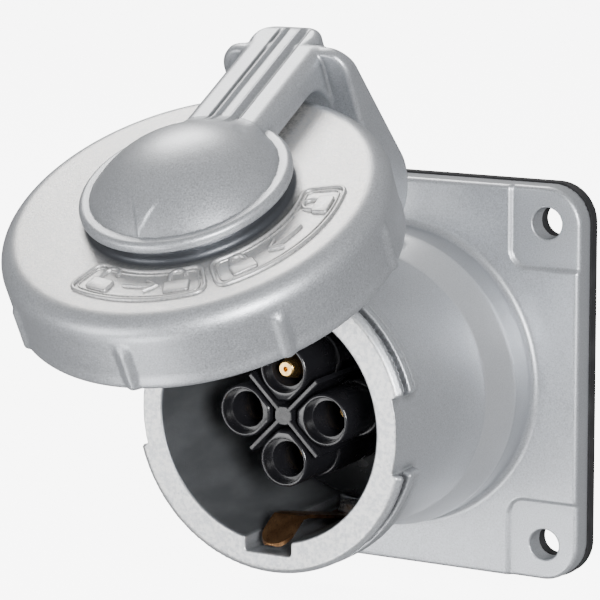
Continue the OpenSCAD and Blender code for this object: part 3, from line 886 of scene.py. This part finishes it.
def smooth_by_angle(obj, degrees):
    """Shades sharp edges over an angle as creases."""
    mesh = obj.data
    work = bmesh.new()
    work.from_mesh(mesh)
    bmesh.ops.recalc_face_normals(work, faces=work.faces)
    limit = math.radians(degrees)
    for edge in work.edges:
        edge.smooth = len(edge.link_faces) == 2 and edge.calc_face_angle(0) < limit
    work.to_mesh(mesh)
    work.free()


# Cell size of the meshed castings, in mm
STEP = 0.5

cast = cast_aluminium("cast_cover")
points, quads, normals = surface_net(arm_field, (-30, -31, 40), (30, 77, 114), STEP)
piece("arm_casting", "arm", "cast_aluminium", cast.material, ["cover_arm"], points, quads, True,
      normals)

points, quads, normals = surface_net(housing_field, (-59, -59, 2), (59, 75, 91), STEP * 1.3)
piece("housing_casting", "housing", "cast_aluminium", housing_metal(), ["housing"], points, quads,
      False, normals)

points, quads = cap_shell()
cap_look = cap_metal()
shell = piece("cap_casting", "cap", "cast_aluminium", cap_look, ["cap"], points, quads, True)
smooth_by_angle(shell, 40)
lugs = gather([ring_block(41.2, 46.6, 83.0, 85.4, a - 6.5, a + 6.5) for a in (0, 180)])
smooth_by_angle(piece("cap_lugs", "cap", "cast_aluminium", cast.material, None, *lugs, True), 30)
labels = piece("cap_labels", "cap", "cast_aluminium", cap_look, None, *cap_labels(), True)
smooth_by_angle(labels, 60)

plastic = black_plastic()
tubes = []
for turn in (90, 180, 0, 270):
    a = math.radians(turn)
    tubes.append(tube_rings(TUBE_CIRCLE * math.cos(a), TUBE_CIRCLE * math.sin(a), turn))
tubes = gather(tubes)
smooth_by_angle(
    piece("tube_mouldings", "housing", "black_plastic", plastic, ["contact_tubes"], *tubes), 35)
webs = web_prism()
smooth_by_angle(
    piece("web_moulding", "housing", "black_plastic", plastic, ["insulator_webs"], *webs), 25)

looks = {
    "gasket_rubber": rubber(),
    "black_plastic": plastic,
    "brass": turned_brass(),
    "bronze": rolled_bronze(),
    "plated_steel": plated_steel(),
    "cast_aluminium": cast.material,
}
for part in frame["record"]["subparts"]:
    paint(frame["nodes"][part["node"]], looks[part["material_slot"]])


# ---- Stage ----

WARM = (1.0, 0.975, 0.94)


def area_light(name, spot, aim, size, power, color=(1, 1, 1)):
    """A softbox at spot, turned to aim, in metres and watts."""
    data = bpy.data.lights.new(name, "AREA")
    data.shape = "RECTANGLE"
    data.size, data.size_y = size
    data.energy = power
    data.color = color
    obj = bpy.data.objects.new(name, data)
    obj.location = spot
    obj.rotation_euler = (Vector(aim) - Vector(spot)).to_track_quat("-Z", "Y").to_euler()
    bpy.context.scene.collection.objects.link(obj)


def add_stage():
    """Pale floor, and a far pale backdrop so that low views have no dark horizon."""
    paper = floor_material()
    bpy.ops.mesh.primitive_plane_add(size=6, location=(0, 0, cad_box[0][2] - 0.012))
    bpy.context.active_object.name = "floor"
    bpy.ops.mesh.primitive_uv_sphere_add(radius=2.9, segments=48, ring_count=24)
    bpy.context.active_object.name = "backdrop"
    for name in ("floor", "backdrop"):
        obj = bpy.data.objects[name]
        obj.visible_diffuse = False
        obj.visible_glossy = False
        obj.visible_shadow = False
        paint(obj, paper)


def add_camera():
    """Long lens from the right and a little above."""
    azimuth, elevation, roll = (math.radians(v) for v in (29.5, 10.7, -0.3))
    distance = 0.94
    target = Vector((-0.0329, -0.0115, 0.0181))
    toward = Vector((math.sin(azimuth) * math.cos(elevation),
                     -math.cos(azimuth) * math.cos(elevation), math.sin(elevation)))
    right = Vector((math.cos(azimuth), math.sin(azimuth), 0))
    up = toward.cross(right)
    level = right * math.cos(roll) + up * math.sin(roll)
    upright = up * math.cos(roll) - right * math.sin(roll)
    data = bpy.data.cameras.new("camera")
    data.lens = 189.9
    data.sensor_width = 36
    data.clip_end = 20
    camera = bpy.data.objects.new("camera", data)
    turn = Matrix((level, upright, toward)).transposed().to_4x4()
    camera.matrix_world = Matrix.Translation(target + toward * distance) @ turn
    bpy.context.scene.collection.objects.link(camera)
    bpy.context.scene.camera = camera


def add_world():
    """White room, brightest overhead and dim below."""
    world = bpy.data.worlds.new("studio")
    bpy.context.scene.world = world
    world.use_nodes = True
    tree = world.node_tree
    split = tree.nodes.new("ShaderNodeSeparateXYZ")
    ramp = tree.nodes.new("ShaderNodeValToRGB")
    lift = tree.nodes.new("ShaderNodeMapRange")
    lift.inputs["From Min"].default_value = -1
    tree.links.new(tree.nodes.new("ShaderNodeTexCoord").outputs["Generated"], split.inputs[0])
    tree.links.new(split.outputs["Z"], lift.inputs["Value"])
    tree.links.new(lift.outputs["Result"], ramp.inputs["Fac"])
    tree.links.new(ramp.outputs["Color"], tree.nodes["Background"].inputs["Color"])
    stops = ramp.color_ramp.elements
    stops[0].position, stops[0].color = 0.2, (0.62, 0.62, 0.63, 1)
    stops[1].position, stops[1].color = 0.95, (1.0, 1.0, 1.0, 1)
    middle = stops.new(0.5)
    middle.color = (0.66, 0.665, 0.68, 1)
    tree.nodes["Background"].inputs["Strength"].default_value = 0.45


add_stage()
add_camera()
add_world()
area_light("top_softbox", (-0.52, 0.38, 0.95), (0, -0.08, 0.05), (0.5, 0.4), 7.5, WARM)
area_light("key_softbox", (0.88, -1.0, 0.26), (0, -0.05, 0.02), (0.36, 0.4), 25)
area_light("front_softbox", (-0.62, -1.35, -0.1), (0, -0.05, 0.0), (0.8, 0.5), 9)
area_light("low_softbox", (-0.15, -0.8, -0.6), (0, -0.1, 0.03), (0.4, 0.4), 4)
